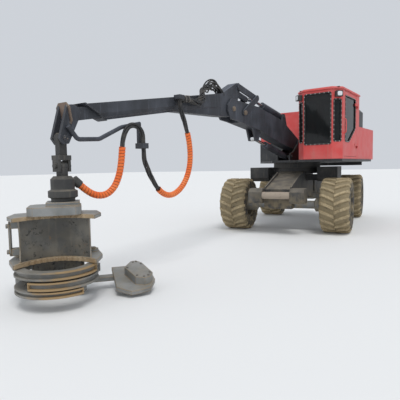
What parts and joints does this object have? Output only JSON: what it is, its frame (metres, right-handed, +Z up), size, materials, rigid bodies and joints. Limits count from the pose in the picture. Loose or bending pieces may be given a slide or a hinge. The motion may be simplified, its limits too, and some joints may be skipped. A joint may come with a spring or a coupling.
{
  "type": "wheeled feller buncher",
  "caption": "Articulated forestry machine on large lugged tyres, with a slewing cab and engine deck, a telescoping knuckle boom and a hanging felling head.",
  "frame": {"origin": "on the ground, under the centre of the whole machine's box", "axes": "+X along the boom from the machine to the felling head, +Y to the upper body's left, +Z up"},
  "size_m": [11.6978, 3.978, 3.471],
  "materials": {
    "black": "satin",
    "chrome": "polished",
    "fabric": "matte",
    "glass": "gloss",
    "grey": "matte",
    "orange": "matte",
    "red": "satin",
    "rubber": "satin",
    "tyre": "matte"
  },
  "bodies": {
    "chassis": {"front_frame": "black", "nose_bumper": "black", "step_boxes": "black", "turntable_ring": "black", "front_axle": "grey"},
    "rear_chassis": {"rear_frame": "black", "rear_axle": "grey"},
    "wheel_front_left": {"tyre_front_left": "tyre", "rim_front_left": "grey"},
    "wheel_front_right": {"tyre_front_right": "tyre", "rim_front_right": "grey"},
    "wheel_rear_left": {"tyre_rear_left": "tyre", "rim_rear_left": "grey"},
    "wheel_rear_right": {"tyre_rear_right": "tyre", "rim_rear_right": "grey"},
    "upper": {"upper_deck": "black", "engine_housing": "black", "engine_hood": "red", "left_housing": "red", "intake_box": "black", "counterweight": "black", "cab_shell": "red", "cab_roof": "red", "cab_glazing": "glass", "cab_seat": "fabric", "work_lamps": "black"},
    "door": {"cab_door": "red", "door_glass": "glass"},
    "boom": {"main_boom": "black"},
    "lift_barrel": {"lift_cylinder_barrel": "black"},
    "lift_rod": {"lift_cylinder_rod": "chrome"},
    "stick_barrel": {"stick_cylinder_barrel": "black"},
    "stick_rod": {"stick_cylinder_rod": "chrome"},
    "rocker": {"elbow_rocker": "black"},
    "link": {"elbow_link": "black"},
    "stick": {"outer_boom": "black", "hose_guide": "black", "hose_bundle_boom": "rubber", "hose_sleeve_boom": "orange", "hose_bundle_clamp": "rubber"},
    "extension": {"inner_boom": "black", "hose_arm": "black", "hose_bundle_tip": "rubber"},
    "hanger": {"hanger": "grey", "hose_sleeve_tip": "orange"},
    "rotator": {"rotator": "grey"},
    "head": {"head_frame": "grey", "saw_box": "grey"},
    "arm_upper": {"upper_arm": "grey"},
    "arm_left": {"lower_arm_left": "grey"},
    "arm_right": {"lower_arm_right": "grey"}
  },
  "joints": [
    {"name": "roll_front_left", "type": "hinge", "parent": "chassis", "child": "wheel_front_left", "pos_m": [-1.66458, 1.53606, 0.6725], "axis": [-0.1736, 0.9848, 0], "continuous": true},
    {"name": "roll_front_right", "type": "hinge", "parent": "chassis", "child": "wheel_front_right", "pos_m": [-1.22699, -0.94566, 0.6725], "axis": [-0.1736, 0.9848, 0], "continuous": true},
    {"name": "roll_rear_left", "type": "hinge", "parent": "rear_chassis", "child": "wheel_rear_left", "pos_m": [-5.01293, 0.94566, 0.6725], "axis": [-0.1736, 0.9848, 0], "continuous": true},
    {"name": "roll_rear_right", "type": "hinge", "parent": "rear_chassis", "child": "wheel_rear_right", "pos_m": [-4.57534, -1.53606, 0.6725], "axis": [-0.1736, 0.9848, 0], "continuous": true},
    {"name": "steer", "type": "hinge", "parent": "chassis", "child": "rear_chassis", "pos_m": [-3.61236, -0.08682, 0.96], "axis": [0, 0, 1], "range_deg": [-40.11, 40.11]},
    {"name": "swing", "type": "hinge", "parent": "chassis", "child": "upper", "pos_m": [-2.72604, 0.06946, 1.74], "axis": [0, 0, 1], "continuous": true},
    {"name": "door_hinge", "type": "hinge", "parent": "upper", "child": "door", "pos_m": [-2.62604, 1.74546, 2.6], "axis": [0, 0, 1], "range_deg": [0, 85.94]},
    {"name": "boom_lift", "type": "hinge", "parent": "upper", "child": "boom", "pos_m": [-2.47604, 0.06946, 2.2], "axis": [0, -1, 0], "range_deg": [-5.73, 45.84]},
    {"name": "lift_barrel_turn", "type": "hinge", "parent": "upper", "child": "lift_barrel", "pos_m": [-1.92604, 0.06946, 1.9], "axis": [0, -1, 0], "range_deg": [-7.73, 53.82]},
    {"name": "lift_rod_slide", "type": "slide", "parent": "lift_barrel", "child": "lift_rod", "axis": [0.9762, 0, 0.2169], "range_m": [-0.0737, 0.4498]},
    {"name": "stick_fold", "type": "hinge", "parent": "boom", "child": "stick", "pos_m": [1.01396, 0.06946, 2.84], "axis": [0, 1, 0], "range_deg": [-8.59, 63.02]},
    {"name": "rocker_turn", "type": "hinge", "parent": "boom", "child": "rocker", "pos_m": [0.58396, 0.06946, 2.8], "axis": [0, -1, 0], "range_deg": [-61.02, 9.31]},
    {"name": "link_turn", "type": "hinge", "parent": "stick", "child": "link", "pos_m": [0.72396, 0.06946, 3.32], "axis": [0, -1, 0], "range_deg": [-6.24, 38.49]},
    {"name": "stick_barrel_turn", "type": "hinge", "parent": "boom", "child": "stick_barrel", "pos_m": [-1.62604, 0.06946, 2.92], "axis": [0, -1, 0], "range_deg": [-2.3, 9.63]},
    {"name": "stick_rod_slide", "type": "slide", "parent": "stick_barrel", "child": "stick_rod", "axis": [0.9874, 0, 0.1585], "range_m": [-0.1093, 0.675]},
    {"name": "telescope", "type": "slide", "parent": "stick", "child": "extension", "axis": [0.9851, 0, -0.1719], "range_m": [0, 1.4], "deforming": ["hose_bundle_boom", "hose_sleeve_boom", "hose_bundle_clamp"]},
    {"name": "tip_swing", "type": "hinge", "parent": "extension", "child": "hanger", "pos_m": [5.09396, 0.06946, 2.05], "axis": [0, -1, 0], "range_deg": [-34.38, 57.3], "deforming": ["hose_bundle_tip"]},
    {"name": "cross_swing", "type": "hinge", "parent": "hanger", "child": "rotator", "pos_m": [5.09396, 0.06946, 1.7], "axis": [1, 0, 0], "range_deg": [-28.65, 28.65], "deforming": ["hose_sleeve_tip"]},
    {"name": "head_spin", "type": "hinge", "parent": "rotator", "child": "head", "pos_m": [5.09396, 0.06946, 1.245], "axis": [0, 0, 1], "continuous": true},
    {"name": "open_upper_arm", "type": "hinge", "parent": "head", "child": "arm_upper", "pos_m": [5.46822, -0.327, 0.45], "axis": [0, 0, -1], "range_deg": [0, 60.16]},
    {"name": "open_left_arm", "type": "hinge", "parent": "head", "child": "arm_left", "pos_m": [4.77477, 0.21478, 0.32], "axis": [0, 0, 1], "range_deg": [0, 60.16]},
    {"name": "open_right_arm", "type": "hinge", "parent": "head", "child": "arm_right", "pos_m": [5.46822, -0.327, 0.22], "axis": [0, 0, -1], "range_deg": [0, 60.16]}
  ],
  "couplings": [
    {"joint": "lift_barrel_turn", "follows": "boom_lift", "ratio": 1.1491},
    {"joint": "lift_rod_slide", "follows": "boom_lift", "m_per_rad": 0.5373},
    {"joint": "rocker_turn", "follows": "stick_fold", "ratio": -0.95},
    {"joint": "link_turn", "follows": "stick_fold", "ratio": 0.5926},
    {"joint": "stick_barrel_turn", "follows": "stick_fold", "ratio": 0.1346},
    {"joint": "stick_rod_slide", "follows": "stick_fold", "m_per_rad": 0.5954}
  ]
}
